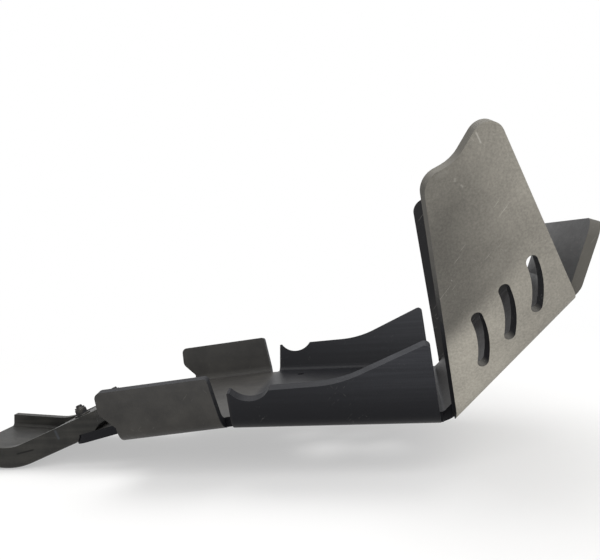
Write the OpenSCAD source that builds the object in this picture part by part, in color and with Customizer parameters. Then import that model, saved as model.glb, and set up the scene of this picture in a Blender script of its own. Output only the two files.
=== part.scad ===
// Skid plate for an off-road motorcycle: one CNC-cut sheet of black polyethylene, folded hot,
// with a moulded guard for the suspension linkage bolted under its tail.
// Frame: +X forward, +Y to the rider's left, +Z up. The origin is where the outer faces of the
// bottom and the front panel would meet, on the middle plane.

/* [Sheet] */
// Thickness of the polyethylene sheet
sheet_t = 8; // [6:0.5:9]
// Inside radius of the folds along the sides of the tray
side_fold_r = 8; // [6:0.5:10]
// Inside radius of the folds of the front panel and its wings
front_fold_r = 4; // [3:0.5:6]
// Underside radius of the two slight folds towards the tail
tail_fold_r = 30; // [20:1:40]
// Radius of the round cuts that end the folds at the corners
relief_r = 5; // [4:0.5:6.5]

/* [Bottom] */
// Width between the two long corners of the tray, outer faces
bottom_w = 224; // [210:1:240]
// Length of the level bottom between its two cross folds
bottom_len = 169; // [160:1:180]
// Diameter of the holes for the M6 frame bolts
frame_hole_d = 6.6; // [6.4:0.1:7]
// Diameter of the recess under each frame bolt
frame_recess_d = 18; // [16:0.5:22]
// Depth of the recess under each frame bolt
frame_recess_depth = 4; // [3:0.5:5]
// Distance between the front and rear frame bolts
frame_bolts_x = 110; // [100:1:120]
// Distance between the left and right frame bolts
frame_bolts_y = 160; // [145:1:170]
// From the front fold back to the front frame bolts
frame_bolts_back = 30; // [24:1:36]
// Diameter of the access hole under the sump plug
drain_d = 38; // [30:1:44]
// From the front fold back to the sump plug hole
drain_back = 112; // [104:1:118]
// Diameter of the access hole under the oil screen
screen_d = 30; // [24:1:34]
// From the front fold back to the oil screen hole
screen_back = 62; // [56:1:68]

/* [Front] */
// Slope of the front panel above level
front_angle = 44; // [38:1:50]
// Length of the front panel between its cross folds
front_len = 138; // [132:1:146]
// Slope of the upper panel above level
upper_angle = 70; // [64:1:74]
// Length of the upper panel
upper_len = 52; // [44:1:60]
// Width of the upper panel
upper_w = 200; // [180:1:206]
// Radius of the top corners of the upper panel
upper_corner_r = 14; // [8:1:20]

/* [Wings] */
// Angle through which each wing is folded out of the front panel
wing_fold = 60; // [52:1:68]
// From the front fold up to the start of each wing
wing_start = 7; // [6:0.5:9]
// Length of each wing along its fold
wing_base = 123; // [118:1:126]
// Height of the wing's rear shoulder above its fold
wing_shoulder = 157; // [150:0.5:170]
// Height of the wing's front lobe above its fold
wing_lobe = 159; // [152:0.5:172]
// Depth of the dip between shoulder and lobe, below the shoulder
wing_dip = 8.5; // [6:0.5:11]
// From the shoulder forward to the dip
wing_dip_run = 22.5; // [20:0.5:26]
// Lean of the wing's rear edge from its fold
wing_rear_lean = 56.1; // [52:0.1:60]
// Lean of the wing's front edge from its fold
wing_front_lean = 74; // [71:0.5:77]
// Radius of the shoulder
shoulder_r = 14; // [10:1:17]
// Radius of the lobe
lobe_r = 12; // [9:0.5:13]
// Radius of the dip
dip_r = 25; // [18:1:30]

/* [Vent slots] */
// Number of slots in each wing
slots = 3; // [1:1:3]
// Width of a slot
slot_w = 9; // [7:0.5:11]
// Length of a slot from tip to tip
slot_len = 45.5; // [38:0.5:50]
// Radius of a slot's middle line
slot_r = 68; // [55:1:90]
// Lean of a slot from the wing's fold
slot_lean = 57.5; // [52:0.5:62]
// Distance between slots along the fold
slot_pitch = 27; // [24:0.5:29]
// From the rear end of the fold to the tip of the first slot
slot_start = 42.5; // [38:0.5:46]
// Height of the slots' lower tips above the fold
slot_rise = 17.3; // [14:0.5:22]

/* [Side walls] */
// Lean of the middle walls out from upright
wall_lean = 20; // [14:1:26]
// From the front fold back to the middle wall's foot
wall_front_back = 5; // [3:0.5:7]
// Height of the wall's front horn
horn_h = 70; // [60:1:80]
// How far the front edge leans back at the horn
horn_back = 8; // [4:0.5:12]
// Height of the wall behind the horn
wall_mid_h = 39; // [34:0.5:44]
// Height of the wall at its rear end
wall_rear_h = 33.5; // [29:0.5:38]
// From the horn back to the level run of the wall
horn_run = 68; // [60:1:76]
// Radius of the sweep behind the horn
horn_sweep_r = 90; // [60:1:110]
// Radius of the round cut in the top of the wall
scallop_r = 18; // [14:0.5:22]
// Width of the round cut across the top
scallop_w = 29; // [24:0.5:32]
// From the rear end of the wall to the middle of the cut
scallop_back = 17; // [15:0.5:20]
// Gap at the top between the rear edge of the middle wall and the rear wall
cleft_w = 10; // [6:0.5:14]

/* [Tail] */
// Drop of the rear bottom panel below level
rear_drop = 5.5; // [3:0.5:8]
// Length of the rear bottom panel
rear_len = 92; // [84:1:100]
// Lean of the rear walls out from upright
rear_wall_lean = 9; // [5:1:14]
// Height of the rear walls
rear_wall_h = 44; // [36:0.5:50]
// How far the rear walls reach past the last fold at the top
rear_wall_over = 12; // [8:0.5:16]
// Drop of the tongue below level
tongue_drop = 13.5; // [10:0.5:17]
// Length of the tongue
tongue_len = 64; // [60:1:74]
// Width of the tongue
tongue_w = 120; // [110:1:126]
// Radius of the tongue's rear corners
tongue_corner_r = 14; // [10:1:18]

/* [Linkage guard] */
// Drop of the guard's top edge below level
guard_drop = 21.7; // [19:0.1:24]
// Rise of the guard's tail above level, towards its rear end
guard_tail_rise = 5; // [2:0.5:7]
// Height of the guard's sides
guard_h = 19.5; // [18:0.5:23]
// Thickness of the guard's floor
guard_floor = 8; // [6:0.5:10]
// Thickness of the guard's sides
guard_wall = 8; // [6:0.5:10]
// Thickness of the guard's front pad above the tongue, at the bolts
guard_pad = 14; // [12:0.5:16]
// Length of the guard's front pad along its top
guard_pad_len = 44; // [40:1:50]
// From the bolts forward to the guard's front end
guard_front = 20.5; // [18:0.5:24]
// Length of the guard's sloping part, along its top
guard_slope_len = 85.5; // [80:0.5:92]
// Length of the guard's tail
guard_tail_len = 52; // [44:1:60]
// Radius of the bend under the guard
guard_bend_r = 60; // [40:1:80]
// Radius along the guard's two lower edges
guard_edge_r = 5; // [3:0.5:6]

/* [Guard fasteners] */
// Diameter of the bolts
bolt_d = 6; // [5:0.5:6.5]
// Thickness of sheet left under each bolt's head
bolt_grip = 3.5; // [3:0.5:4]
// Distance between the two bolts
bolts_y = 80; // [70:1:84]
// From the tongue's rear end forward to the bolts
bolts_in = 9; // [9:0.5:14]
// Diameter of a bolt's head
head_d = 11; // [10:0.5:12]
// Height of a bolt's head
head_h = 3.4; // [3:0.1:4]
// Width of the nut across its flats
nut_flats = 10; // [9:0.5:11]
// Height of the nut with its flange
nut_h = 8; // [7:0.5:9]
// Diameter of the nut's flange
nut_flange_d = 14.2; // [13:0.2:15]
// Thickness of the nut's flange
nut_flange_t = 1.5; // [1.2:0.1:2]
// How far each bolt stands out of its nut
bolt_out = 2; // [1:0.5:4]

/* [Hidden] */
$fn = 96;
// Small overlap that lets one cut pass cleanly through a face
past = 1;
// Extra radius that lets a rounding cross the edges that it would only touch
touch_slack = 0.002;
// A cross fold is this much thinner on each face than the flats, as the sheet stretches there
fold_thinning = 0.03;
// A cross fold runs this many degrees into the flat on either side
fold_lap = 1.5;
// Strip of the flat that each side wall brings with it
flat_strip = 6;
// Depth and length of the slant under the guard's front end
guard_nose_h = 12.3;
guard_nose = [6.6, 4];
// Corner radius inside the guard's trough
trough_r = 3;
// Width and depth of the hexagon socket in each bolt's head
socket_flats = 4;
socket_depth = 2;
// Chamfer at the end of each bolt
bolt_chamfer = 0.8;
// Radius of the head's dome as a share of its diameter
head_dome = 0.62;
// The nut's locking collar: its height as a share of the nut's, and its width as a share of the flats
collar_rise = 0.2;
collar_share = 0.88;
// The cone that breaks the nut's corners: its width at the top as a share of the flats, and its spread
cone_top = 0.96;
cone_spread = 1.2;
// Play between the bolts and the holes they pass through
bolt_play = 0.3;
// Play between the thread of a bolt and its nut
thread_play = 0.05;
// Play between the end of the tongue and the guard's pocket round it
tongue_play = 1;
// Half the width of the foot of the cleft between the walls
cleft_r = 2.5;
// From the rear panel's rear edge forward to the foot of its walls
wall_step = 1.5;
// Level below the sharp corner line where the outlines of the walls start
outline_from = -20;
// Radius of the top rear corners of the rear walls
wall_corner_r = 5;
// Radius under the overhang of the rear walls, and its height as a share of the walls'
under_over_r = 8;
under_over = 0.6;
// From the tray's folds in to the middle of each round relief cut
relief_in = 6;
// Angle of an upright wall to the level bottom
upright = 90;

wall_fold = upright - wall_lean;
rear_wall_fold = upright - rear_wall_lean;

// Length that a fold takes out of the flat beside it, from the sharp corner of its outer faces
function fold_take(outer_r, angle) = outer_r * tan(angle / 2);
front_take = fold_take(front_fold_r + sheet_t, front_angle);
upper_take = fold_take(front_fold_r + sheet_t, upper_angle - front_angle);
rear_take = fold_take(tail_fold_r, rear_drop);
tongue_take = fold_take(tail_fold_r, tongue_drop - rear_drop);
tray_half = bottom_w / 2 - fold_take(side_fold_r + sheet_t, wall_fold);
rear_half = bottom_w / 2 - fold_take(side_fold_r + sheet_t, rear_wall_fold);
guard_top_r = guard_bend_r - guard_h;
guard_bend = guard_drop + guard_tail_rise;
guard_run = guard_slope_len - guard_top_r * tan(guard_bend / 2);
plate_color = "#3c3c3d";
guard_color = "#343435";
steel_color = "#26272a";

function unit(v) = v / norm(v);

// Outline of a polygon, listed counter-clockwise as [x, y, corner radius], with true arcs at
// its corners. Outward corners are cut back and inward corners are filled.
module rounded(corners) {
  n = len(corners);
  function at(i) = let (c = corners[(i + n) % n]) [c[0], c[1]];
  module corner(i) {
    r = corners[i][2];
    a = unit(at(i - 1) - at(i));
    b = unit(at(i + 1) - at(i));
    inward = unit(a + b);
    half = acos(a * b) / 2;
    centre = at(i) + inward * r / sin(half);
    difference() {
      polygon([at(i) - inward * 0.5, at(i) + a * r / tan(half), centre, at(i) + b * r / tan(half)]);
      translate(centre) circle(r + touch_slack);
    }
  }
  function outward(i) = cross(at(i) - at(i - 1), at(i + 1) - at(i)) > 0;
  difference() {
    union() {
      polygon([for (i = [0:n - 1]) at(i)]);
      for (i = [0:n - 1]) if (corners[i][2] > 0 && !outward(i)) corner(i);
    }
    for (i = [0:n - 1]) if (corners[i][2] > 0 && outward(i)) corner(i);
  }
}

module both_sides() {
  children();
  mirror([0, 1, 0]) children();
}

// Curved strip of a cross fold, with its axis along y through the origin. It starts straight below
// the axis and turns towards x and up.
module fold_strip(angle, inside_r, width) {
  strip_w = width - 2 * fold_thinning;
  rotate([90, 90, 0]) rotate(-fold_lap) translate([0, 0, -strip_w / 2])
    rotate_extrude(angle = angle + 2 * fold_lap)
      translate([inside_r + fold_thinning, 0]) square([sheet_t - 2 * fold_thinning, strip_w]);
}

// Fold across the plate that turns the sheet up, given from the sharp corner of its outer faces
module fold_up(angle, width, take) {
  translate([-take, 0, sheet_t + front_fold_r]) fold_strip(angle, front_fold_r, width);
}

// Slight fold across the plate that turns the sheet down towards the tail
module fold_down(angle, width, take) {
  translate([take, 0, -tail_fold_r]) rotate([0, 180, 0]) fold_strip(angle, tail_fold_r, width);
}

// Plane of a wall or wing folded up at the right edge: x along the fold, y up the wall from the
// sharp corner of the outer faces, z inward from the outer face
module on_side(angle) {
  translate([0, -bottom_w / 2, 0]) rotate([-angle, 0, 0]) mirror([0, 1, 0]) children();
}

// Wall folded up along the right edge, with its fold and a strip of the flat, cut to an outline
// given as 2D children: x along the fold, y up the wall from the sharp corner of the outer faces
module folded_wall(angle, inside_r, x0, x1, wall_h) {
  outward = [cos(angle), sin(angle)];
  inward = [-sin(angle), cos(angle)];
  strip_end = fold_take(inside_r + sheet_t, angle) + flat_strip;
  intersection() {
    translate([x1, -bottom_w / 2, 0]) rotate([90, 0, -90]) linear_extrude(x1 - x0) rounded([
      [-strip_end, 0, 0],
      [0, 0, inside_r + sheet_t],
      [wall_h * outward[0], wall_h * outward[1], 0],
      [wall_h * outward[0] + sheet_t * inward[0], wall_h * outward[1] + sheet_t * inward[1], 0],
      [-fold_take(sheet_t, angle), sheet_t, inside_r],
      [-strip_end, sheet_t, 0]
    ]);
    on_side(angle) translate([0, 0, -past]) linear_extrude(4 * sheet_t) children();
  }
}

module on_front() {
  rotate([0, -front_angle, 0]) children();
}

module on_upper() {
  on_front() translate([front_len, 0, 0]) rotate([0, front_angle - upper_angle, 0]) children();
}

module on_rear() {
  translate([-bottom_len, 0, 0]) rotate([0, -rear_drop, 0]) children();
}

module on_tongue() {
  on_rear() translate([-rear_len - tongue_take, 0, 0]) rotate([0, rear_drop - tongue_drop, 0]) children();
}

// Level bottom of the tray, with its frame bolt holes and access holes
module bottom_panel() {
  difference() {
    translate([rear_take - bottom_len, -tray_half, 0])
      cube([bottom_len - rear_take - front_take, 2 * tray_half, sheet_t]);
    for (x = [-frame_bolts_back, -frame_bolts_back - frame_bolts_x], y = [-0.5, 0.5] * frame_bolts_y)
      translate([x, y, 0]) {
        translate([0, 0, -past]) cylinder(d = frame_hole_d, h = sheet_t + 2 * past);
        translate([0, 0, -past]) cylinder(d = frame_recess_d, h = frame_recess_depth + past);
      }
    translate([-drain_back, 0, -past]) cylinder(d = drain_d, h = sheet_t + 2 * past);
    translate([-screen_back, 0, -past]) cylinder(d = screen_d, h = sheet_t + 2 * past);
  }
}

module front_panel() {
  translate([front_take, -tray_half, 0])
    cube([front_len - front_take - upper_take, 2 * tray_half, sheet_t]);
}

module upper_panel() {
  half = upper_w / 2;
  linear_extrude(sheet_t) rounded([
    [upper_take, -half, 0],
    [upper_len, -half, upper_corner_r],
    [upper_len, half, upper_corner_r],
    [upper_take, half, 0]
  ]);
}

// One vent slot, an arc of even width with round tips that bulges forward
module vent_slot() {
  half_angle = asin((slot_len - slot_w) / 2 / slot_r);
  rotate(slot_lean) translate([slot_len / 2, slot_r * cos(half_angle)]) {
    intersection() {
      difference() {
        circle(slot_r + slot_w / 2, $fn = 180);
        circle(slot_r - slot_w / 2, $fn = 180);
      }
      polygon([[0, 0], for (s = [-1, 1]) 2 * slot_r * [s * sin(half_angle), -cos(half_angle)]]);
    }
    for (s = [-1, 1]) translate(slot_r * [s * sin(half_angle), -cos(half_angle)])
      circle(slot_w / 2 + touch_slack);
  }
}

// Wing outline: x along the fold from its rear end, y up the wing from the sharp corner line.
// It runs on below the fold, so that it can trim the fold on the same slants.
module wing_outline() {
  function rear_x(y) = y / tan(wing_rear_lean);
  function front_x(y) = wing_base + y / tan(wing_front_lean);
  difference() {
    rounded([
      [rear_x(outline_from), outline_from, 0],
      [front_x(outline_from), outline_from, 0],
      [front_x(wing_lobe), wing_lobe, lobe_r],
      [rear_x(wing_shoulder) + wing_dip_run, wing_shoulder - wing_dip, dip_r],
      [rear_x(wing_shoulder), wing_shoulder, shoulder_r]
    ]);
    for (i = [0:slots - 1]) translate([slot_start + i * slot_pitch, slot_rise]) vent_slot();
  }
}

module wing() {
  on_front() translate([wing_start, 0, 0])
    folded_wall(wing_fold, front_fold_r, -wing_base / 2, 2 * wing_base, 1.2 * wing_lobe) wing_outline();
}

// Middle wall outline: x forward, y up the wall from the sharp corner line of the fold
module mid_wall_outline() {
  front_x = -wall_front_back;
  rear_x = cleft_r - bottom_len;
  cut_x = rear_x + scallop_back;
  cut_rise = sqrt(pow(scallop_r, 2) - pow(scallop_w / 2, 2));
  difference() {
    rounded([
      [rear_x, outline_from, 0],
      [front_x, outline_from, 0],
      [front_x - horn_back, horn_h, 4],
      [front_x - horn_back - horn_run, wall_mid_h - 1, horn_sweep_r],
      [rear_x, wall_rear_h, 1]
    ]);
    translate([cut_x, wall_rear_h + cut_rise]) circle(scallop_r);
  }
}

module mid_wall() {
  folded_wall(wall_fold, side_fold_r, -1.2 * bottom_len, bottom_len / 4, 1.2 * horn_h) mid_wall_outline();
}

// Rear wall outline: x forward from the rear cross fold, y up the wall
module rear_wall_outline() {
  rear_x = wall_step - rear_len;
  rounded([
    [rear_x, outline_from, 0],
    [-cleft_r, outline_from, 0],
    [-cleft_w, rear_wall_h, 3],
    [rear_x - rear_wall_over, rear_wall_h, wall_corner_r],
    [rear_x - rear_wall_over, rear_wall_h * under_over, under_over_r],
    [rear_x, fold_take(side_fold_r + sheet_t, rear_wall_fold), 0]
  ]);
}

module rear_wall() {
  on_rear() folded_wall(rear_wall_fold, side_fold_r, -1.5 * rear_len, rear_len / 2, 1.2 * rear_wall_h)
    rear_wall_outline();
}

module rear_panel() {
  on_rear() translate([-rear_len, -rear_half, 0])
    cube([rear_len - rear_take, 2 * rear_half, sheet_t]);
}

// Bolts stand square to the top of the guard, through the tongue
module on_bolts() {
  on_tongue() translate([bolts_in - tongue_len, 0, sheet_t]) rotate([0, tongue_drop - guard_drop, 0])
    for (y = [-0.5, 0.5] * bolts_y) translate([0, y, 0]) children();
}

module tongue() {
  difference() {
    on_tongue() linear_extrude(sheet_t) rounded([
      [-tongue_take, tongue_w / 2, 0],
      [-tongue_len, tongue_w / 2, tongue_corner_r],
      [-tongue_len, -tongue_w / 2, tongue_corner_r],
      [-tongue_take, -tongue_w / 2, 0]
    ]);
    on_bolts() translate([0, 0, -2 * sheet_t]) cylinder(d = bolt_d + 2 * bolt_play, h = 3 * sheet_t);
    on_bolts() translate([0, 0, -2 * sheet_t]) cylinder(d = head_d + 2, h = 2 * sheet_t - bolt_grip);
  }
}

module skid_plate() {
  color(plate_color) difference() {
    union() {
      bottom_panel();
      fold_up(front_angle, 2 * tray_half, front_take);
      on_front() front_panel();
      on_front() translate([front_len, 0, 0]) fold_up(upper_angle - front_angle, upper_w, upper_take);
      on_upper() upper_panel();
      both_sides() wing();
      both_sides() mid_wall();
      translate([-bottom_len, 0, 0]) fold_down(rear_drop, 2 * rear_half, rear_take);
      rear_panel();
      both_sides() rear_wall();
      on_rear() translate([-rear_len - tongue_take, 0, 0])
        fold_down(tongue_drop - rear_drop, tongue_w, tongue_take);
      tongue();
    }
    relief_x = (wing_start * cos(front_angle) - wall_front_back) / 2;
    both_sides() translate([relief_x, relief_r - tray_half - relief_in, -past])
      cylinder(r = relief_r, h = 3 * sheet_t);
  }
}

// Frame of the guard: origin on its top plane at the front end, x forward along the slope
module on_guard() {
  on_tongue() translate([bolts_in - tongue_len, 0, sheet_t]) rotate([0, tongue_drop - guard_drop, 0])
    translate([guard_front, 0, guard_pad]) children();
}

// Cross-section down from a level, with rounded lower corners: y across and z up
module guard_section(width, top, bottom, edge_r) {
  rounded([
    [-width / 2, top, 0],
    [-width / 2, bottom, edge_r],
    [width / 2, bottom, edge_r],
    [width / 2, top, 0]
  ]);
}

// Sweep of a cross-section along the guard: forward up the slope from the bend, round the bend,
// and back along the tail. The bend is as much thinner as the plate's cross folds.
module along_guard(forward, back, width, top, bottom, edge_r) {
  thin = fold_thinning;
  on_guard() translate([-guard_run, 0, 0]) {
    rotate([90, 0, 90]) linear_extrude(forward) guard_section(width, top, bottom, edge_r);
    translate([0, 0, guard_top_r]) rotate([90, 90, 180]) rotate(-fold_lap)
      rotate_extrude(angle = guard_bend + 2 * fold_lap) translate([guard_top_r, 0]) rotate(90)
        guard_section(width - 2 * thin, top - thin, bottom + thin, edge_r - thin);
    translate([0, 0, guard_top_r]) rotate([0, guard_bend, 0]) translate([0, 0, -guard_top_r])
      rotate([90, 0, -90]) linear_extrude(back) guard_section(width, top, bottom, edge_r);
  }
}

// Space that the tongue takes up under the guard's front pad
module tongue_pocket() {
  half = tongue_w / 2 + tongue_play;
  on_tongue() translate([0, 0, -3 * sheet_t]) linear_extrude(4 * sheet_t) rounded([
    [0, half, 0],
    [-tongue_len - tongue_play, half, tongue_corner_r + tongue_play],
    [-tongue_len - tongue_play, -half, tongue_corner_r + tongue_play],
    [0, -half, 0]
  ]);
}

module linkage_guard() {
  trough_w = tongue_w - 2 * guard_wall;
  trough_floor = guard_floor - guard_h;
  color(guard_color) difference() {
    along_guard(guard_run, guard_tail_len, tongue_w, 0, -guard_h, guard_edge_r);
    along_guard(guard_run - guard_pad_len, guard_tail_len + past, trough_w, past, trough_floor, trough_r);
    on_guard() translate([0, tongue_w, 0]) rotate([90, 0, 0]) linear_extrude(2 * tongue_w)
      polygon([
        [past, past - guard_nose_h],
        [0, -guard_nose_h],
        [-guard_nose[0], -guard_nose_h - guard_nose[1]],
        [-guard_nose[0], -2 * guard_h],
        [past, -2 * guard_h]
      ]);
    tongue_pocket();
    on_bolts() translate([0, 0, -past]) cylinder(d = bolt_d + 2 * bolt_play, h = guard_pad + 2 * past);
  }
}

// Low domed head with a hexagon socket, and a plain shank with a chamfered end
module guard_bolts() {
  tip = guard_pad + nut_h + bolt_out;
  dome_r = head_d * head_dome;
  color(steel_color) on_bolts() {
    difference() {
      intersection() {
        translate([0, 0, -bolt_grip - head_h]) cylinder(d = head_d, h = head_h);
        translate([0, 0, dome_r - bolt_grip - head_h]) sphere(dome_r);
      }
      translate([0, 0, -bolt_grip - head_h - past])
        cylinder(d = socket_flats / cos(30), h = socket_depth + past, $fn = 6);
    }
    translate([0, 0, -bolt_grip]) cylinder(d = bolt_d, h = tip + bolt_grip - bolt_chamfer);
    translate([0, 0, tip - bolt_chamfer])
      cylinder(d1 = bolt_d, d2 = bolt_d - 2 * bolt_chamfer, h = bolt_chamfer);
  }
}

// Flange nuts with a round locking collar on top
module guard_nuts() {
  collar_h = nut_h * collar_rise;
  cone_h = nut_flats;
  color(steel_color) on_bolts() translate([0, 0, guard_pad]) difference() {
    union() {
      cylinder(d = nut_flange_d, h = nut_flange_t);
      intersection() {
        cylinder(d = nut_flats / cos(30), h = nut_h - collar_h, $fn = 6);
        translate([0, 0, nut_h - collar_h - cone_h / 2])
          cylinder(d1 = nut_flats + cone_h * cone_spread, d2 = nut_flats * cone_top, h = cone_h / 2);
      }
      cylinder(d = nut_flats * collar_share, h = nut_h);
    }
    translate([0, 0, -past]) cylinder(d = bolt_d + 2 * thread_play, h = nut_h + 2 * past);
  }
}

// Row frame: origin on the inside face of the bottom, between the four frame bolts
module from_frame_bolts() {
  translate([frame_bolts_back + frame_bolts_x / 2, 0, -sheet_t]) children();
}

from_frame_bolts() skid_plate();
from_frame_bolts() linkage_guard();
from_frame_bolts() guard_bolts();
from_frame_bolts() guard_nuts();
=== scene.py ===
from math import cos, pi, radians, sin, tan

import bmesh
import bpy
import numpy as np
from mathutils import Matrix, Vector
from mathutils.bvhtree import BVHTree


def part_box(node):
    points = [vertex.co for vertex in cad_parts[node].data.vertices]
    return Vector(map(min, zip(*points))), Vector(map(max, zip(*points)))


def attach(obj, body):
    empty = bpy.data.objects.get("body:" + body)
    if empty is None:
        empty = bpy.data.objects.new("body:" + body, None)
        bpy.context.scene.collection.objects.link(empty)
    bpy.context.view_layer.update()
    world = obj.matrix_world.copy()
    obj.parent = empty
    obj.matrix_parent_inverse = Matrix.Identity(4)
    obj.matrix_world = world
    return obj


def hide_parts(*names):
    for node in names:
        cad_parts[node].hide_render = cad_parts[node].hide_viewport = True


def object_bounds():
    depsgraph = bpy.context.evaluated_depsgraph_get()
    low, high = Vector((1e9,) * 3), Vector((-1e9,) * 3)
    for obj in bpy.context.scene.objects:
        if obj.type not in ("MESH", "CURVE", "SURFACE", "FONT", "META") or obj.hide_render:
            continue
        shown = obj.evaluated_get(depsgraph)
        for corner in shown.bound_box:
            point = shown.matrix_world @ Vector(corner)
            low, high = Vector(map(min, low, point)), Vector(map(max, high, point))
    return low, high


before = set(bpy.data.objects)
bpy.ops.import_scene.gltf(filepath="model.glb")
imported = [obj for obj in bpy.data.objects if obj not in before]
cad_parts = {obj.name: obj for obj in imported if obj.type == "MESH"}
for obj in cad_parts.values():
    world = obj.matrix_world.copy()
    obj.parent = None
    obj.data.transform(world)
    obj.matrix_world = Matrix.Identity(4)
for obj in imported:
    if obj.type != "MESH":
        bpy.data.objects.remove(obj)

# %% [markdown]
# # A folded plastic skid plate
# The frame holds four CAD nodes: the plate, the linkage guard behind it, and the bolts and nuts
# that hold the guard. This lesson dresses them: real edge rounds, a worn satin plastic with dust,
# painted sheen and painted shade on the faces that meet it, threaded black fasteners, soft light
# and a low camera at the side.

CAD_BOX = [list(corner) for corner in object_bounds()]
MM = 0.001
print("CAD box in metres:", CAD_BOX)

# %% [markdown]
# ## The camera
# The photograph was taken from the right side with a moderate lens, from a little above the
# wing's slots. The camera is turned a little towards the tail, tips slightly down, and leans, so
# that level lines rise to the right. The three turns are put together as matrices, outermost
# first, because that keeps their order plain.

# %% Camera
camera_data = bpy.data.cameras.new("side_camera")
camera_data.sensor_width = 36.0
camera_data.lens = 43.2
camera = bpy.data.objects.new("side_camera", camera_data)
bpy.context.scene.collection.objects.link(camera)
CAMERA_PLACE = Vector((58.7, -650.0, 131.4)) * MM
TURN_TO_TAIL, TIP_DOWN, LEAN = radians(8.463), radians(2.665), radians(-3.5)
camera.matrix_world = (
    Matrix.Translation(CAMERA_PLACE)
    @ Matrix.Rotation(TURN_TO_TAIL, 4, "Z")
    @ Matrix.Rotation(pi / 2 - TIP_DOWN, 4, "X")
    @ Matrix.Rotation(LEAN, 4, "Z")
)
bpy.context.scene.camera = camera
print("camera at", [round(v, 4) for v in CAMERA_PLACE])

# %% [markdown]
# ## Edges that catch the light
# A sheet that was cut by a router has edges broken to about half a millimetre, and a moulded part
# has rounder ones. The CAD solids have sharp edges, so each visible piece is a copy of its node
# with its loose triangles merged and a Bevel modifier on every edge sharper than 30 degrees. The
# bevel is made real at once, so that the next step can measure the finished faces. Its strips go
# to a second material place while it is made, which tells them from the rest.

# %% Helpers: a mesh attribute, smooth shading and a bevelled copy of a CAD node
def store(mesh, name, values):
    """Keeps one number for each face of a mesh, as the attribute that a material reads."""
    layer = mesh.attributes.new(name, "FLOAT", "FACE")
    layer.data.foreach_set("value", np.asarray(values, np.float32))


def smooth(piece, crease=40.0, weight=90):
    """Smooth shading, with edges sharper than the crease angle kept crisp. The normals are
    weighed by the size of the faces, so that a big flat face stays flat beside a narrow strip."""
    mesh = piece.data
    mesh.polygons.foreach_set("use_smooth", np.ones(len(mesh.polygons), bool))
    mesh.set_sharp_from_angle(angle=radians(crease))
    weighed = piece.modifiers.new("weighed_normals", "WEIGHTED_NORMAL")
    weighed.mode = "FACE_AREA"
    weighed.weight = weight
    weighed.keep_sharp = True


def rounded_copy(node, name, radius, segments=3, merge=0.05 * MM, least_angle=30.0):
    """A copy of a node's mesh with vertices closer than `merge` joined and each edge over the
    least angle replaced by a strip of `segments` faces that follows an arc of about `radius`.
    The strips get 1 in the face attribute `edge`."""
    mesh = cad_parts[node].data.copy()
    mesh.materials.clear()
    for _ in range(2):
        mesh.materials.append(None)
    piece = bpy.data.objects.new(name, mesh)
    bpy.context.scene.collection.objects.link(piece)
    weld = piece.modifiers.new("weld", "WELD")
    weld.merge_threshold = merge
    bevel = piece.modifiers.new("edge_round", "BEVEL")
    bevel.width = radius
    bevel.segments = segments
    bevel.limit_method = "ANGLE"
    bevel.angle_limit = radians(least_angle)
    bevel.use_clamp_overlap = True
    bevel.material = 1
    graph = bpy.context.evaluated_depsgraph_get()
    done = bpy.data.meshes.new_from_object(piece.evaluated_get(graph))
    piece.modifiers.clear()
    piece.data = done
    done.name = name
    strips = np.zeros(len(done.polygons), np.int32)
    done.polygons.foreach_get("material_index", strips)
    done.polygons.foreach_set("material_index", np.zeros_like(strips))
    done.materials.clear()
    store(done, "edge", strips == 1)
    smooth(piece)
    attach(piece, "root")
    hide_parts(node)
    print(f"{name}: {len(done.polygons)} faces, {int(strips.sum())} of them on rounded edges")
    return piece


# %% The plate and the guard
ROUTED_EDGE, MOULDED_EDGE = 0.5 * MM, 0.9 * MM
plate = rounded_copy("skid_plate", "plate_sheet", ROUTED_EDGE)
guard = rounded_copy("linkage_guard", "guard_tray", MOULDED_EDGE)

# %% [markdown]
# ## Which faces are cut edges
# The two skins of a plastic sheet keep the sheen that the rollers gave them, while its cut edges
# are duller. A cut face shows itself by what lies behind it: from the middle of a skin, a ray
# straight in comes out after one sheet thickness, and from a cut edge it has to go further. Cut
# faces that look up are marked for painted light from above, and skins that look back for
# painted shade.

# %% Mark the cut edges
SHEET = 8.0 * MM

def mark_cut_faces(
    piece, thickness, slack=1.6 * MM, up_least=0.1, back_least=0.02, start=0.02 * MM
):
    """Stores 1 in the face attribute `cut` where the way straight in from the middle of a face
    is longer than the thickness plus a slack. A second attribute, for painted light from above,
    tells how far such a face looks up: the z of its normal, stretched to run from 0 at `up_least`
    to 1. A third, for painted shade, is 1 where a skin looks back, with the x of its normal past
    `back_least`. Elsewhere they are 0. The way in is measured from a start just under the face,
    so that the ray doesn't meet the face itself."""
    mesh = piece.data
    tree = BVHTree.FromPolygons(
        [v.co for v in mesh.vertices], [list(p.vertices) for p in mesh.polygons]
    )
    cut = np.zeros(len(mesh.polygons))
    up_lit = np.zeros(len(mesh.polygons))
    back_shade = np.zeros(len(mesh.polygons))
    for i, face in enumerate(mesh.polygons):
        inward = -face.normal
        hit = tree.ray_cast(face.center + inward * start, inward)
        depth = hit[3] if hit[0] is not None else 1.0
        cut[i] = depth > thickness + slack
        up_lit[i] = cut[i] * max(0.0, face.normal.z - up_least) / (1 - up_least)
        back_shade[i] = not cut[i] and face.normal.x < -back_least
    store(mesh, "cut", cut)
    store(mesh, "up_lit", up_lit)
    store(mesh, "back_shade", back_shade)
    print(f"{piece.name}: {int(cut.sum())} faces of {len(cut)} are cut, {int(back_shade.sum())} in the lee")


mark_cut_faces(plate, SHEET)

# %% [markdown]
# ## Where the guard's bolts stand
# The bolts stand square to the guard's top, behind two slight folds of the plate. The frame that
# they stand in is reached as on the real part: back along the bottom, down one fold, back along
# the rear panel, down the next, and back along the tongue.

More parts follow.
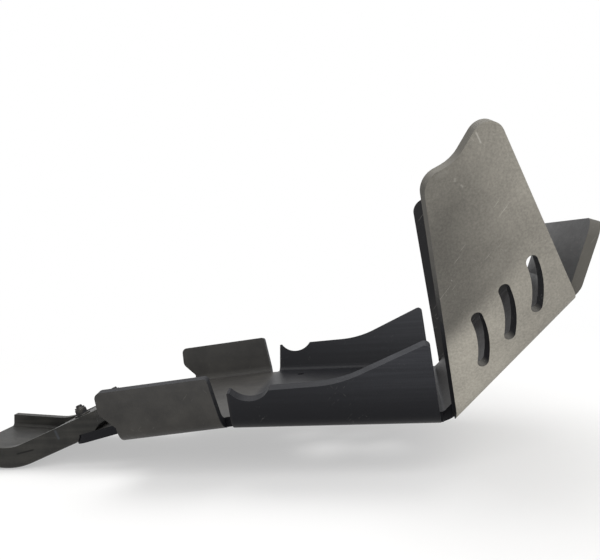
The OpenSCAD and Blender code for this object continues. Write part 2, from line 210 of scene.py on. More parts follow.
# %% Frame of the bolts
BOTTOM_LEN, REAR_LEN, BOLTS_BACK = 169.0, 92.0, 55.0
REAR_DROP, TONGUE_DROP, GUARD_DROP = 5.5, 13.5, 21.7
FOLD_R, BOLTS_APART = 30.0, 80.0
FOLD_TAKE = FOLD_R * tan(radians(TONGUE_DROP - REAR_DROP) / 2)
CORNER = (85.0, 0.0, -8.0)

def shift(x, y, z):
    """A move by x, y and z millimetres."""
    return Matrix.Translation(Vector((x, y, z)) * MM)


def tip(angle):
    """A turn about y that tips +x down by an angle in degrees."""
    return Matrix.Rotation(radians(angle), 4, "Y")


on_rear = shift(*CORNER) @ shift(-BOTTOM_LEN, 0, 0) @ tip(-REAR_DROP)
on_tongue = on_rear @ shift(-REAR_LEN - FOLD_TAKE, 0, 0) @ tip(REAR_DROP - TONGUE_DROP)
on_bolts = on_tongue @ shift(-BOLTS_BACK, 0, SHEET / MM) @ tip(TONGUE_DROP - GUARD_DROP)
print("bolts stand at", [round(v, 4) for v in on_bolts.translation])

# %% [markdown]
# ## Bolts with real threads
# A bolt is a surface of two parameters, the direction round its axis and the level along it. Its
# radius at each point is a formula: a hexagon in the socket, a sphere on the head, and a helical
# ridge on the shank. Whole arrays of radii, one row for each level, make the mesh, which is
# quicker and truer than a screw modifier. The nut is made the same way, as a closed ring.

# %% Helpers: turned surfaces
AROUND = 96
THETA = np.linspace(0.0, 2 * pi, AROUND, endpoint=False)

def hexagon(flats):
    """Distance from the axis to a hexagon that wide across its flats, for each direction: half
    the width over the cosine of the angle to the middle of the nearest flat."""
    return 0.5 * flats / np.cos(np.mod(THETA, pi / 3) - pi / 6)


def turned_mesh(name, rows, ring, places):
    """A mesh of one turned surface at each of several places. A row is (level, radii) in
    millimetres. Its points are (radius cos, radius sin, level), neighbouring rows are joined by
    quads, and a ring's last row is joined to its first. Rows of no width close to a pole."""
    levels = np.array([level for level, _ in rows], float)
    radii = np.array([np.broadcast_to(radius, AROUND) for _, radius in rows])
    grid = np.stack([
        radii * np.cos(THETA),
        radii * np.sin(THETA),
        np.broadcast_to(levels[:, None], radii.shape),
    ], axis=-1).reshape(-1, 3) * MM
    count = len(rows)
    first = np.arange(count if ring else count - 1)[:, None] * AROUND
    after = (first + AROUND) % (count * AROUND)
    here, there = np.arange(AROUND), np.roll(np.arange(AROUND), -1)
    quads = np.stack([first + here, first + there, after + there, after + here], axis=-1)
    quads = quads.reshape(-1, 4)
    points, faces = [], []
    for number, place in enumerate(places):
        turn = np.array(place.to_3x3())
        points.append(grid @ turn.T + np.array(place.translation))
        faces.append(quads + number * len(grid))
    mesh = bpy.data.meshes.new(name)
    mesh.from_pydata(np.concatenate(points).tolist(), [], np.concatenate(faces).tolist())
    work = bmesh.new()
    work.from_mesh(mesh)
    bmesh.ops.remove_doubles(work, verts=work.verts, dist=0.001 * MM)
    bmesh.ops.recalc_face_normals(work, faces=work.faces)
    work.to_mesh(mesh)
    work.free()
    return mesh


def fastener_piece(name, node, rows, ring):
    """The pair of bolts or nuts that replaces a CAD node."""
    places = [on_bolts @ shift(0, y, 0) for y in (-BOLTS_APART / 2, BOLTS_APART / 2)]
    mesh = turned_mesh(name, rows, ring, places)
    piece = bpy.data.objects.new(name, mesh)
    bpy.context.scene.collection.objects.link(piece)
    smooth(piece, 32.0)
    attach(piece, "root")
    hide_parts(node)
    corners = np.array([v.co for v in mesh.vertices])
    off = np.abs(np.array([corners.min(0), corners.max(0)]) - np.array(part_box(node))).max()
    print(f"{name}: {len(mesh.polygons)} faces, box off by {off / MM:.2f} mm")
    return piece


# %% Bolts
PAD, NUT_H, BOLT_OUT = 14.0, 8.0, 2.0
GRIP, HEAD_H, HEAD_R, BOLT_R, DOME_R = 3.5, 3.4, 5.5, 3.0, 6.82
SOCKET_FLATS, SOCKET_DEPTH, SOCKET_MOUTH, MOUTH_BEVEL = 4.0, 2.0, 2.5, 0.25
PITCH, THREAD_DEPTH, CREST, THREAD_STEP, CHAMFER = 1.0, 0.42, 1.3, 0.1, 0.8
EASE, NECK, RIM, DOME_ROWS = 0.15, 0.2, 0.08, 12
bolt_end = PAD + NUT_H + BOLT_OUT
head_top = -GRIP - HEAD_H

def thread_radius(level):
    """Radius of the thread in each direction at a level: a ridge that rises one pitch a turn, as
    a triangle wave with a flat crest, cut back by the chamfer near the bolt's end."""
    wave = 1 - np.abs(2 * np.mod(level / PITCH - THETA / (2 * pi), 1.0) - 1)
    ridge = BOLT_R - THREAD_DEPTH * (1 - np.clip(CREST * wave, 0, 1))
    return np.minimum(ridge, BOLT_R - CHAMFER + (bolt_end - level))


def dome_level(radius):
    """Level of the head's domed top at a radius: the lower side of a sphere."""
    return head_top + DOME_R - np.sqrt(DOME_R ** 2 - radius ** 2)


socket_floor = head_top + SOCKET_DEPTH
dome = np.linspace(SOCKET_MOUTH + NECK, HEAD_R - EASE, DOME_ROWS)
threaded = np.arange(PAD - 2 * PITCH, bolt_end, THREAD_STEP)
bolt_rows = [
    (socket_floor, 0.0),
    (socket_floor, hexagon(SOCKET_FLATS)),
    (dome_level(SOCKET_MOUTH) + MOUTH_BEVEL, hexagon(SOCKET_FLATS)),
    (dome_level(SOCKET_MOUTH), SOCKET_MOUTH),
    *((dome_level(radius), radius) for radius in dome),
    (dome_level(HEAD_R) + RIM, HEAD_R),
    (-GRIP - EASE, HEAD_R),
    (-GRIP, HEAD_R - EASE),
    (-GRIP, BOLT_R + NECK),
    (-GRIP + NECK, BOLT_R - THREAD_DEPTH / 2),
    *((level, thread_radius(level)) for level in threaded),
    (bolt_end, BOLT_R - CHAMFER),
    (bolt_end, 0.0),
]
bolts = fastener_piece("guard_bolt_pair", "guard_bolts", bolt_rows, ring=False)

# %% Nuts
NUT_FLATS, FLANGE_R, FLANGE_T, BORE_R = 10.0, 7.1, 1.5, 3.05
COLLAR_R, COLLAR_H, COLLAR_ROUND = 4.4, 1.6, 0.35
CONE_R, CONE_SPREAD, CONE_H, CONE_ROWS = 4.8, 1.24, 0.9, 10
BREAK, LIP, FOOT = 0.3, 0.1, 0.2
hex_top = NUT_H - COLLAR_H

def hex_radius(level):
    """Radius of the nut's body: the hexagon, cut by a cone that widens down from its top."""
    return np.minimum(hexagon(NUT_FLATS), CONE_R + CONE_SPREAD * (hex_top - level))


# Levels from the nut's seat, up the bore, over the collar and down the outside
nut_rows = [
    (BREAK, BORE_R),
    (NUT_H - BREAK, BORE_R),
    (NUT_H, BORE_R + BREAK),
    (NUT_H, COLLAR_R - COLLAR_ROUND),
    (NUT_H - LIP, COLLAR_R - LIP),
    (NUT_H - COLLAR_ROUND, COLLAR_R),
    (hex_top + LIP, COLLAR_R),
    (hex_top, COLLAR_R + LIP),
    *((level, hex_radius(level)) for level in np.linspace(hex_top, hex_top - CONE_H, CONE_ROWS)),
    (FLANGE_T + EASE, hexagon(NUT_FLATS)),
    (FLANGE_T, hexagon(NUT_FLATS) + EASE),
    (FLANGE_T, FLANGE_R - BREAK),
    (FLANGE_T - LIP, FLANGE_R - LIP),
    (FLANGE_T - BREAK, FLANGE_R),
    (FOOT, FLANGE_R),
    (0.0, FLANGE_R - FOOT),
    (0.0, BORE_R + BREAK),
]
nut_rows = [(PAD + level, radius) for level, radius in nut_rows]
nuts = fastener_piece("guard_nut_pair", "guard_nuts", nut_rows, ring=True)

# %% [markdown]
# ## Shared effects
# Five effects serve more than one material, so each is a node group that is built once. `Grain`
# gives the fine pebbled skin of plastic as a height. `Scratches` gives hair lines, stretched noise
# cut to its peaks, as a mask. `Film` gives a soft cloudy mask for dust, `Streaks` a mask of long
# faint smears along the part, and `Stroke` a single mark at a chosen place.

# %% Helpers for node trees
VECTOR, NUMBER = "NodeSocketVector", "NodeSocketFloat"

def new_group(name, inputs, outputs):
    """An empty group with the named inputs and outputs, and its two end nodes."""
    group = bpy.data.node_groups.new(name, "ShaderNodeTree")
    for label, kind, value in inputs:
        socket = group.interface.new_socket(label, in_out="INPUT", socket_type=kind)
        if value is not None:
            socket.default_value = value
    for label in outputs:
        group.interface.new_socket(label, in_out="OUTPUT", socket_type=NUMBER)
    start, end = group.nodes.new("NodeGroupInput"), group.nodes.new("NodeGroupOutput")
    return group, start.outputs, end.inputs


def feed(tree, socket, value):
    """Links a socket to a socket, or sets it to a number, vector or colour."""
    if isinstance(value, bpy.types.NodeSocket):
        tree.links.new(value, socket)
    else:
        socket.default_value = value


def add(tree, kind, settings=None, **sockets):
    """A node of that kind with its settings, and its sockets fed by name."""
    node = tree.nodes.new(kind)
    for key, value in (settings or {}).items():
        setattr(node, key, value)
    for label, value in sockets.items():
        feed(tree, node.inputs[label.replace("_", " ")], value)
    return node


def calc(tree, operation, first, second=0.0, clamp=False):
    """A Math node on two numbers or sockets."""
    node = add(tree, "ShaderNodeMath", {"operation": operation, "use_clamp": clamp})
    feed(tree, node.inputs[0], first)
    feed(tree, node.inputs[1], second)
    return node.outputs[0]


def plus(tree, first, second):
    """The sum of two numbers or sockets."""
    return calc(tree, "ADD", first, second)


def larger(tree, first, second):
    """The larger of two numbers or sockets."""
    return calc(tree, "MAXIMUM", first, second)


def product(tree, *factors):
    """The product of several numbers or sockets."""
    total = factors[0]
    for factor in factors[1:]:
        total = calc(tree, "MULTIPLY", total, factor)
    return total


def aim(tree, operation, first, second):
    """A Vector Math node on two vectors or sockets."""
    node = add(tree, "ShaderNodeVectorMath", {"operation": operation})
    feed(tree, node.inputs[0], first)
    feed(tree, node.inputs[1], second)
    return node.outputs["Value" if operation == "DOT_PRODUCT" else "Vector"]


def ramp(tree, value, low, high, start=0.0, end=1.0):
    """Smooth step of a value, from start at low to end at high."""
    node = add(tree, "ShaderNodeMapRange", {"interpolation_type": "SMOOTHSTEP", "clamp": True},
               Value=value, From_Min=low, From_Max=high, To_Min=start, To_Max=end)
    return node.outputs["Result"]


def blend(tree, factor, first, second):
    """first where factor is 0 and second where it is 1, for numbers."""
    node = add(tree, "ShaderNodeMix", {"data_type": "FLOAT"})
    for index, value in ((0, factor), (2, first), (3, second)):
        feed(tree, node.inputs[index], value)
    return node.outputs[0]


def tint(tree, factor, first, second):
    """first where factor is 0 and second where it is 1, for colours."""
    node = add(tree, "ShaderNodeMix", {"data_type": "RGBA"})
    for index, value in ((0, factor), (6, first), (7, second)):
        feed(tree, node.inputs[index], value)
    return node.outputs[2]


def use(tree, group, vector, **values):
    """One use of a shared group on a vector, with its own values. Gives its first output."""
    node = tree.nodes.new("ShaderNodeGroup")
    node.node_tree = group
    feed(tree, node.inputs["Vector"], vector)
    for label, value in values.items():
        feed(tree, node.inputs[label], value)
    return node.outputs[0]


# %% Group: grain of rolled or moulded plastic
grain, given, out = new_group("Grain", [
    ("Vector", VECTOR, None), ("Scale", NUMBER, 900.0),
], ["Height"])
pebbles = add(grain, "ShaderNodeTexVoronoi", {"feature": "SMOOTH_F1"},
              Vector=given["Vector"], Scale=given["Scale"], Smoothness=0.6)
flow = add(grain, "ShaderNodeTexNoise", None,
           Vector=given["Vector"], Scale=given["Scale"], Detail=3.0, Roughness=0.6)
feed(grain, out["Height"], plus(grain, pebbles.outputs["Distance"], flow.outputs["Fac"]))
print("group Grain:", len(grain.nodes), "nodes")

# %% Group: hair scratches along one direction
HAIR_STRETCH = (0.03, 0.4, 1.0)
scratches, given, out = new_group("Scratches", [
    ("Vector", VECTOR, None), ("Turn", NUMBER, 0.5),
    ("Scale", NUMBER, 1400.0), ("Share", NUMBER, 0.3),
], ["Mask"])
turned = add(scratches, "ShaderNodeVectorRotate", {"rotation_type": "Y_AXIS"},
             Vector=given["Vector"], Angle=given["Turn"]).outputs["Vector"]
drawn = aim(scratches, "MULTIPLY", turned, HAIR_STRETCH)
lines = add(scratches, "ShaderNodeTexNoise", None,
            Vector=drawn, Scale=given["Scale"], Detail=1.0, Roughness=0.5).outputs["Fac"]
patches = add(scratches, "ShaderNodeTexNoise", None,
              Vector=given["Vector"], Scale=38.0, Detail=2.0).outputs["Fac"]
peaks = ramp(scratches, lines, 0.70, 0.76)
on_patches = ramp(scratches, patches, 0.48, 0.62)
feed(scratches, out["Mask"], product(scratches, peaks, on_patches, given["Share"]))
print("group Scratches:", len(scratches.nodes), "nodes")

# %% Group: a cloudy film of dust
film, given, out = new_group("Film", [
    ("Vector", VECTOR, None), ("Scale", NUMBER, 18.0),
    ("Low", NUMBER, 0.35), ("High", NUMBER, 0.75),
], ["Mask"])
clouds = add(film, "ShaderNodeTexNoise", None,
             Vector=given["Vector"], Scale=given["Scale"], Detail=6.0, Roughness=0.62)
feed(film, out["Mask"], ramp(film, clouds.outputs["Fac"], given["Low"], given["High"]))
print("group Film:", len(film.nodes), "nodes")

# %% Group: long faint smears
SMEAR_STRETCH = (0.03, 0.3, 1.0)
streaks, given, out = new_group("Streaks", [
    ("Vector", VECTOR, None), ("Scale", NUMBER, 220.0),
], ["Mask"])
along_part = aim(streaks, "MULTIPLY", given["Vector"], SMEAR_STRETCH)
smears = add(streaks, "ShaderNodeTexNoise", None,
             Vector=along_part, Scale=given["Scale"], Detail=4.0, Roughness=0.65).outputs["Fac"]
feed(streaks, out["Mask"], ramp(streaks, smears, 0.32, 0.72))
print("group Streaks:", len(streaks.nodes), "nodes")

# %% Group: one mark at a chosen place
stroke, given, out = new_group("Stroke", [
    ("Vector", VECTOR, None), ("Centre", VECTOR, None), ("Turn", NUMBER, 0.0),
    ("Length", NUMBER, 0.01), ("Width", NUMBER, 0.001),
], ["Mask"])
off_centre = aim(stroke, "SUBTRACT", given["Vector"], given["Centre"])
turn_back = calc(stroke, "MULTIPLY", given["Turn"], -1.0)
level_mark = add(stroke, "ShaderNodeVectorRotate", {"rotation_type": "Z_AXIS"},
                 Vector=off_centre, Angle=turn_back).outputs["Vector"]
sides = add(stroke, "ShaderNodeSeparateXYZ", None, Vector=level_mark).outputs

def within(distance, reach):
    """1 at the middle and 0 beyond half the reach, in a straight slope."""
    half = calc(stroke, "MULTIPLY", reach, 0.5)
    share = calc(stroke, "DIVIDE", calc(stroke, "ABSOLUTE", distance), half)
    return calc(stroke, "SUBTRACT", 1.0, share, clamp=True)


# The mark is strongest on its middle line, and keeps its strength until close to its ends.
long_way = calc(stroke, "MULTIPLY", within(sides["X"], given["Length"]), 4.0, clamp=True)
feed(stroke, out["Mask"], product(stroke, long_way, within(sides["Y"], given["Width"])))
print("group Stroke:", len(stroke.nodes), "nodes")

# %% [markdown]
# ## Finding a place on a wing
# The wings slope in three directions, so a mark or a fade on one is hard to place by x, y and z.
# `WingPlace` turns a point into how far it lies along the wing's fold and how far up the wing, by
# two dot products. It reads the size of y alone, so both wings are dressed alike.

# %% Group: place on the wing
FRONT_SLOPE, WING_FOLD = radians(44.0), radians(60.0)
HALF_WIDTH, WING_START = 112.0 * MM, 7.0 * MM
fold_way = np.array([cos(FRONT_SLOPE), 0.0, sin(FRONT_SLOPE)])
up_way = np.array([-sin(FRONT_SLOPE), 0.0, cos(FRONT_SLOPE)]) * sin(WING_FOLD)
up_way[1] = -cos(WING_FOLD)
fold_start = np.array(CORNER) * MM + WING_START * fold_way + np.array([0.0, -HALF_WIDTH, 0.0])
wing_place = bpy.data.node_groups.new("WingPlace", "ShaderNodeTree")
wing_place.interface.new_socket("Vector", in_out="INPUT", socket_type=VECTOR)
for label in ("Along", "Up"):
    wing_place.interface.new_socket(label, in_out="OUTPUT", socket_type=NUMBER)
given = wing_place.nodes.new("NodeGroupInput").outputs
out = wing_place.nodes.new("NodeGroupOutput").inputs
axes = add(wing_place, "ShaderNodeSeparateXYZ", None, Vector=given["Vector"]).outputs
right_side = calc(wing_place, "MULTIPLY", calc(wing_place, "ABSOLUTE", axes["Y"]), -1.0)
folded_over = add(wing_place, "ShaderNodeCombineXYZ", None, X=axes["X"], Y=right_side, Z=axes["Z"])
from_start = aim(wing_place, "SUBTRACT", folded_over.outputs["Vector"], tuple(fold_start))
feed(wing_place, out["Along"], aim(wing_place, "DOT_PRODUCT", from_start, tuple(fold_way)))
feed(wing_place, out["Up"], aim(wing_place, "DOT_PRODUCT", from_start, tuple(up_way)))
print("wing's fold starts at", [round(v, 4) for v in fold_start])

# %% [markdown]
# ## The plate's plastic
# The sheet is black polyethylene with a satin skin. Dry dust has dulled the outsides of the wings
# and of the front panel, and with a painted sheen makes them a warm grey. The grey is palest along
# the fold and towards the front edge, and darkest by the rear edge and on skins that look back, as
# painted shade. The side walls stay dark, with long faint smears and a painted sheen that fades to
# painted shade at their foot, and the rear walls have a thin brown tone, a painted reflection of
# the ground. Cut edges are darker than the skin, with a painted reflection that grows up the wing
# and painted light where they look up. The rounded edges get a painted highlight. Dust could be
# painted by hand, but a share worked out from the place on the part can be changed by one number.

# %% Helpers: a material with its shader, a value kept on the faces, and relief
def new_material(name, roughness, specular):
    """A node material with one Principled shader: it, its tree, the shader's inputs and the
    Object coordinates. The roughness is the finish's plain value, which a mask may replace."""
    material = bpy.data.materials.new(name)
    material.use_nodes = True
    tree = material.node_tree
    surface = tree.nodes["Principled BSDF"].inputs
    surface["Roughness"].default_value = roughness
    surface["Specular IOR Level"].default_value = specular
    return material, tree, surface, tree.nodes.new("ShaderNodeTexCoord").outputs["Object"]


def face_value(tree, name):
    """The value of a face attribute."""
    return add(tree, "ShaderNodeAttribute", {"attribute_name": name}).outputs["Fac"]


def give_bump(tree, surface, height, strength, distance):
    """A Bump node from a height to the shader's normal."""
    bump = add(tree, "ShaderNodeBump", None, Strength=strength, Distance=distance, Height=height)
    tree.links.new(bump.outputs["Normal"], surface["Normal"])


# %% Plate plastic: where the dust and painted sheen lie
PLASTIC = (0.0072, 0.0074, 0.0092, 1.0)
DUST_AND_SHEEN = (0.42, 0.396, 0.342, 1.0)
REAR_LEAN, AHEAD_LEAN = radians(56.1), 0.16
# The stretches in which the front, the rear walls and the tongue begin
FRONT_BEGINS, REAR_BEGINS = (81 * MM, 84 * MM), (-79 * MM, -86 * MM)
TONGUE_BEGINS = (-190 * MM, -206 * MM)
plate_plastic, tree, surface, place = new_material("plate_plastic", 0.42, 0.13)
axes = add(tree, "ShaderNodeSeparateXYZ", None, Vector=place).outputs
wing = tree.nodes.new("ShaderNodeGroup")
wing.node_tree = wing_place
tree.links.new(place, wing.inputs["Vector"])
along, up = wing.outputs["Along"], wing.outputs["Up"]
cloudy = use(tree, film, place, Scale=42.0, Low=0.2, High=0.8)
speckled = use(tree, film, place, Scale=620.0, Low=0.25, High=0.75)
# On the wing, a share by the rear edge runs over to one by the front edge.
# The share is partly mottled dust and partly painted sheen: high along the fold and towards the
# front edge, and low by the rear edge as painted shade.
from_rear_edge = calc(tree, "SUBTRACT", along, calc(tree, "DIVIDE", up, tan(REAR_LEAN)))
to_front = ramp(tree, from_rear_edge, 4 * MM, 112 * MM)
near_fold = ramp(tree, up, 66 * MM, 42 * MM)
rear_share = blend(tree, near_fold, ramp(tree, up, 118 * MM, 150 * MM, 0.24, 0.32), 0.76)
front_share = ramp(tree, up, 70 * MM, 125 * MM, 0.55, 0.73)
uneven = plus(tree, product(tree, cloudy, 0.24), product(tree, speckled, 0.34))
wing_share = product(tree, blend(tree, to_front, rear_share, front_share), plus(tree, uneven, 0.71))
# The wings and the front panel lie ahead of a plane that leans back as it rises.
leaning = plus(tree, axes["X"], product(tree, axes["Z"], AHEAD_LEAN))
ahead = ramp(tree, leaning, *FRONT_BEGINS)
# Skins that look back get almost none of this share, as painted shade.
open_share = product(tree, ahead, wing_share, blend(tree, face_value(tree, "back_shade"), 1.0, 0.05))
# The rear walls get a thin brown tone, a painted reflection of the ground, and the tongue a fainter
# even tone.
past_fold = ramp(tree, axes["X"], *REAR_BEGINS)
before_tongue = ramp(tree, axes["X"], *TONGUE_BEGINS, 1.0, 0.0)
thin_reflection = plus(tree, product(tree, cloudy, 0.05), 0.055)
rear_reflection = product(tree, past_fold, before_tongue, thin_reflection)
tongue_tone = ramp(tree, axes["X"], *TONGUE_BEGINS, 0.0, 0.045)
skin_share = larger(tree, larger(tree, open_share, rear_reflection), tongue_tone)
print("dust laid out with", len(tree.nodes), "nodes")

# %% Plate plastic: cut edges, smears, painted wall sheen and painted edge highlights
WALL_SHEEN_AND_SMEAR = (0.055, 0.057, 0.066, 1.0)
EDGE_HIGHLIGHT = (0.30, 0.295, 0.29, 1.0)
cut = face_value(tree, "cut")
# Cut edges on the wing get a painted reflection that grows up the wing and painted light where they
# look up, and those at the top of the front panel are paler.
high_edge_reflection = ramp(tree, up, 60 * MM, 120 * MM, 0.0, 0.20)
up_lit_edge = product(tree, face_value(tree, "up_lit"), 0.20)
wing_edge = product(tree, ahead, plus(tree, high_edge_reflection, up_lit_edge))
panel_edge = ramp(tree, axes["X"], 165 * MM, 176 * MM, 0.0, 0.22)
cut_share = larger(tree, wing_edge, panel_edge)
dust_and_light_share = blend(tree, cut, skin_share, cut_share)
smeared = use(tree, streaks, place, Scale=240.0)
# The side walls get a painted sheen, strongest high up and towards the front, that fades to painted
# shade at their foot and is broken by the smears.
to_tail = ramp(tree, axes["X"], 70 * MM, -70 * MM, 1.0, 0.45)
up_wall = ramp(tree, axes["Z"], -6 * MM, 55 * MM, 0.0, 0.78)
behind = calc(tree, "SUBTRACT", 1.0, ahead)
wall_sheen_and_smears = product(tree, blend(tree, smeared, 0.5, 0.8), behind, to_tail, up_wall)
dusty_and_lit = tint(tree, dust_and_light_share, tint(tree, wall_sheen_and_smears, PLASTIC, WALL_SHEEN_AND_SMEAR), DUST_AND_SHEEN)
# The rounded edges get a painted highlight, stronger in places.
edge_highlight = product(tree, face_value(tree, "edge"), ramp(tree, cloudy, 0.1, 0.9, 0.02, 0.12))
with_edge_highlight = tint(tree, edge_highlight, dusty_and_lit, EDGE_HIGHLIGHT)
print("plate colour laid out, now", len(tree.nodes), "nodes")

# %% Plate plastic: scratches and marks
SCRATCH = (0.60, 0.58, 0.53, 1.0)
# Centre along the fold and up the wing, turn in degrees, length, width, all in mm, and strength
WING_MARKS = [
    (148.1, 148.4, 74.0, 9.5, 1.6, 0.36),
    (119.8, 140.0, 40.0, 3.0, 2.4, 0.15),
    (120.3, 133.3, 84.0, 3.0, 1.8, 0.20),
    (116.0, 150.0, -20.0, 10.0, 5.0, 0.06),
]

def mark_on(tree, plane, x, y, turn, length, width):
    """One Stroke on a plane's vector, with its place and size in mm and its turn in degrees."""
    return use(tree, stroke, plane, Centre=(x * MM, y * MM, 0.0), Turn=radians(turn),
               Length=length * MM, Width=width * MM)


fine = use(tree, scratches, place, Turn=0.9, Scale=1500.0, Share=0.22)
crossing = use(tree, scratches, place, Turn=2.3, Scale=1100.0, Share=0.14)
scratched = product(tree, larger(tree, fine, crossing), blend(tree, ahead, 0.3, 1.0))
wing_plane = add(tree, "ShaderNodeCombineXYZ", None, X=along, Y=up).outputs["Vector"]
near_side = ramp(tree, axes["Y"], 0.0, -1 * MM)
for *mark, strength in WING_MARKS:
    one = product(tree, mark_on(tree, wing_plane, *mark), strength, near_side, ahead)
    scratched = larger(tree, scratched, one)
tree.links.new(tint(tree, scratched, with_edge_highlight, SCRATCH), surface["Base Color"])
print("plate colour done, now", len(tree.nodes), "nodes")

# %% Plate plastic: roughness and relief
SAW_STRETCH = (1.0, 8.0, 1.0)
duller = plus(tree, product(tree, dust_and_light_share, 0.22), product(tree, cut, 0.14))
tree.links.new(plus(tree, duller, blend(tree, smeared, 0.42, 0.38)), surface["Roughness"])
saw_way = aim(tree, "MULTIPLY", place, SAW_STRETCH)
saw = add(tree, "ShaderNodeTexNoise", None, Vector=saw_way, Scale=300.0, Detail=2.0).outputs["Fac"]
relief = plus(tree, use(tree, grain, place, Scale=1400.0), product(tree, saw, cut, 2.0))
give_bump(tree, surface, calc(tree, "SUBTRACT", relief, scratched), 0.12, 0.4 * MM)
plate.data.materials.append(plate_plastic)
print("plate plastic:", len(tree.nodes), "nodes")

# %% [markdown]
# ## The guard's plastic
# The guard is moulded from the same family of plastic, with a slightly rougher skin and a thin
# brown film, and its rounded edges get a painted highlight. A crease runs along its near side by
# the bend, darkened with painted shade, and a painted bluish highlight crosses the slope ahead of
# it. The crease could be cut into the mesh, but it is too shallow to show at its outline, so it is
# a stroke of colour and a slight dip of the relief, and the highlight is a stroke of colour too.

# %% Guard plastic
GUARD_PLASTIC = (0.0125, 0.0125, 0.0122, 1.0)
GUARD_EDGE_HIGHLIGHT = (0.20, 0.20, 0.195, 1.0)
CREASE_SHADE = (0.001, 0.001, 0.001, 1.0)
BLUE_HIGHLIGHT = (0.07, 0.085, 0.11, 1.0)
HAIR_LINE = (0.22, 0.22, 0.22, 1.0)
guard_plastic, tree, surface, place = new_material("guard_plastic", 0.46, 0.17)
axes = add(tree, "ShaderNodeSeparateXYZ", None, Vector=place).outputs
cloudy = use(tree, film, place, Scale=30.0, Low=0.3, High=0.7)
smeared = use(tree, streaks, place, Scale=160.0)
filmed = plus(tree, product(tree, cloudy, 0.035), product(tree, smeared, 0.03))
# The rounded edges get a painted highlight.
edge_highlight = product(tree, face_value(tree, "edge"), ramp(tree, cloudy, 0.0, 1.0, 0.02, 0.16))
with_edge_highlight = tint(tree, edge_highlight, tint(tree, filmed, GUARD_PLASTIC, DUST_AND_SHEEN), GUARD_EDGE_HIGHLIGHT)
side_plane = add(tree, "ShaderNodeCombineXYZ", None, X=axes["X"], Y=axes["Z"]).outputs["Vector"]
near_side = ramp(tree, axes["Y"], -55 * MM, -58 * MM)
# The crease is darkened with painted shade.
crease = product(tree, mark_on(tree, side_plane, -285.5, -36.2, 12.3, 19.0, 2.2), near_side)
# A painted bluish highlight crosses the slope.
blue_highlight = product(tree, mark_on(tree, side_plane, -254.2, -21.5, -67.7, 10.0, 3.4), near_side, 0.32)
marked = tint(tree, blue_highlight, tint(tree, crease, with_edge_highlight, CREASE_SHADE), BLUE_HIGHLIGHT)
hair_lines = use(tree, scratches, place, Turn=0.1, Scale=1200.0, Share=0.22)
tree.links.new(tint(tree, hair_lines, marked, HAIR_LINE), surface["Base Color"])
tree.links.new(blend(tree, cloudy, 0.40, 0.54), surface["Roughness"])
relief = calc(tree, "SUBTRACT", use(tree, grain, place, Scale=1000.0), product(tree, crease, 3.0))
give_bump(tree, surface, relief, 0.16, 0.5 * MM)
guard.data.materials.append(guard_plastic)
print("guard plastic:", len(tree.nodes), "nodes")

# %% [markdown]
# ## Black steel
# The bolts and nuts are steel with a black coating, dulled by a little dust that has settled. A
# coating as thin as that keeps some of the metal's sheen, so it is set about half metallic. One
# cloudy mask both pales and roughens it, because dust does both in the same places.

# %% Black steel
COATING, SETTLED_DUST = (0.016, 0.016, 0.018, 1.0), (0.06, 0.056, 0.05, 1.0)
black_steel, tree, surface, place = new_material("black_steel", 0.36, 0.4)
surface["Metallic"].default_value = 0.55
dirty = use(tree, film, place, Scale=190.0, Low=0.4, High=0.7)
tree.links.new(tint(tree, dirty, COATING, SETTLED_DUST), surface["Base Color"])
tree.links.new(blend(tree, dirty, 0.30, 0.52), surface["Roughness"])
give_bump(tree, surface, use(tree, grain, place, Scale=2600.0), 0.1, 0.2 * MM)
for piece in (bolts, nuts):
    piece.data.materials.append(black_steel)
print("black steel:", len(tree.nodes), "nodes")

# %% [markdown]
# ## Floor and light
# The part floats just clear of a plain pale floor. A big soft lamp over the camera's side, a wide
# one overhead and an even white world light it, at a level at which a colour renders about as it
# is written. The world is pure white where the camera sees it or a surface mirrors it, and the
# floor fades to the same white further out, so that no horizon shows, while the soft shadow under
# the part stays.

# %% Helper: the rays that see the plain background
WHITE = (1.0, 1.0, 1.0, 1.0)

def seen_rays(tree):
    """1 for a ray from the camera or from a mirror or glass surface, else 0."""
    paths = tree.nodes.new("ShaderNodeLightPath").outputs
    mirrored = larger(tree, paths["Is Glossy Ray"], paths["Is Transmission Ray"])
    return larger(tree, paths["Is Camera Ray"], mirrored)


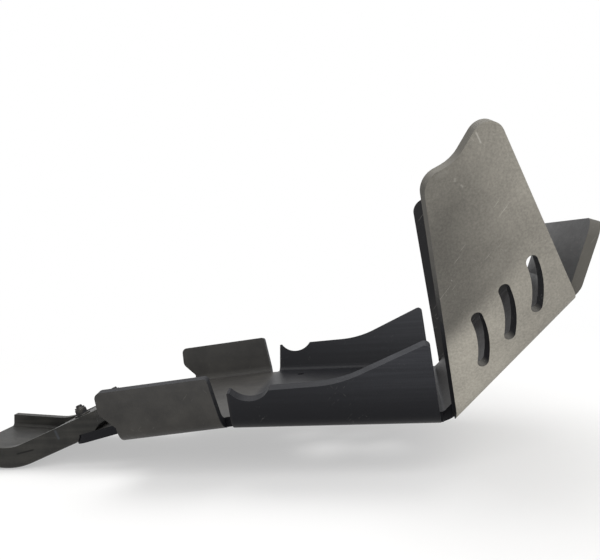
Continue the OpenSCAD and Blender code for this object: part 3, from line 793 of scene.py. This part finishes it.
# %% Floor
FLOOR_GAP, FLOOR_HALF = 1.0 * MM, 6.0
FADE_START, FADE_END = 0.3, 1.1
FLOOR_PALE = (0.86, 0.855, 0.845, 1.0)
floor_z = CAD_BOX[0][2] - FLOOR_GAP
square = ((-1, -1), (1, -1), (1, 1), (-1, 1))
floor_corners = [(x * FLOOR_HALF, y * FLOOR_HALF, floor_z) for x, y in square]
floor_mesh = bpy.data.meshes.new("floor")
floor_mesh.from_pydata(floor_corners, [], [(0, 1, 2, 3)])
floor = bpy.data.objects.new("floor", floor_mesh)
bpy.context.scene.collection.objects.link(floor)
floor_paint, tree, surface, place = new_material("floor_paint", 0.85, 0.2)
surface["Base Color"].default_value = FLOOR_PALE
distance = add(tree, "ShaderNodeVectorMath", {"operation": "LENGTH"}, Vector=place).outputs["Value"]
white = add(tree, "ShaderNodeEmission", None, Color=WHITE, Strength=1.0)
fade = tree.nodes.new("ShaderNodeMixShader")
faded = ramp(tree, distance, FADE_START, FADE_END, 0.45, 1.0)
feed(tree, fade.inputs[0], product(tree, seen_rays(tree), faded))
tree.links.new(tree.nodes["Principled BSDF"].outputs[0], fade.inputs[1])
tree.links.new(white.outputs[0], fade.inputs[2])
tree.links.new(fade.outputs[0], tree.nodes["Material Output"].inputs["Surface"])
floor_mesh.materials.append(floor_paint)
print("floor at", round(floor_z, 4))

# %% Lamps and world
def soft_lamp(name, place, target, size, power):
    """A square area lamp at a place, turned to face a target."""
    data = bpy.data.lights.new(name, "AREA")
    data.shape = "SQUARE"
    data.size = size
    data.energy = power
    lamp = bpy.data.objects.new(name, data)
    bpy.context.scene.collection.objects.link(lamp)
    lamp.location = place
    way = Vector(target) - Vector(place)
    lamp.rotation_euler = way.to_track_quat("-Z", "Y").to_euler()


soft_lamp("key_lamp", place=(0.9, -1.8, 1.6), target=(0.0, 0.0, 0.05), size=1.6, power=34.0)
soft_lamp("top_lamp", place=(-0.3, 0.6, 2.2), target=(0.0, 0.0, 0.0), size=2.0, power=30.0)
WORLD_LIGHT, SEEN_LIGHT = 0.55, 1.0
world = bpy.data.worlds.new("studio")
bpy.context.scene.world = world
world.use_nodes = True
tree = world.node_tree
background = tree.nodes["Background"].inputs
background["Color"].default_value = WHITE
strength = blend(tree, seen_rays(tree), WORLD_LIGHT, SEEN_LIGHT)
tree.links.new(strength, background["Strength"])
bpy.context.scene.view_settings.view_transform = "Standard"
print("lamps and world set")
